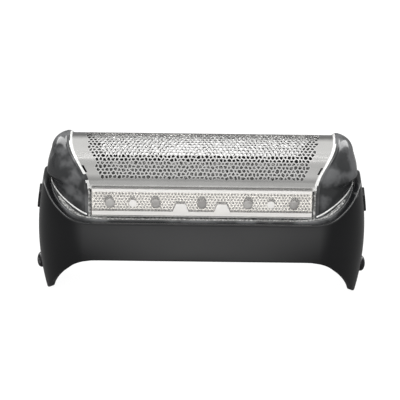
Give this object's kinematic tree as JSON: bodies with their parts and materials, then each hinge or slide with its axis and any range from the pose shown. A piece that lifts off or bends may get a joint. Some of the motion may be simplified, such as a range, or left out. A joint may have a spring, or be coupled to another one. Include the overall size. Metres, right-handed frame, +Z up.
{
  "type": "shaver foil head",
  "caption": "Foil head of an electric shaver: an arched perforated foil in a smoke-clear cassette, set in a black frame whose end tongues snap onto the shaver body",
  "frame": {"origin": "centre of the bounding box's underside, which is the plane of the two end tongues", "axes": "+X along the head, -Y its front, +Z up, away from the shaver body"},
  "size_m": [0.063, 0.023, 0.0303],
  "materials": {
    "black_frame": "fine satin texture, black",
    "smoke_clear": "glossy smoke-clear moulding",
    "nickel_foil": "bright nickel, finely perforated",
    "clear_bar": "clear moulding, slightly warm"
  },
  "bodies": {
    "root": {"outer_frame": "black_frame", "foil_cassette": "smoke_clear", "foil": "nickel_foil", "front_clamp_bar": "clear_bar", "rear_clamp_bar": "clear_bar"}
  },
  "joints": []
}
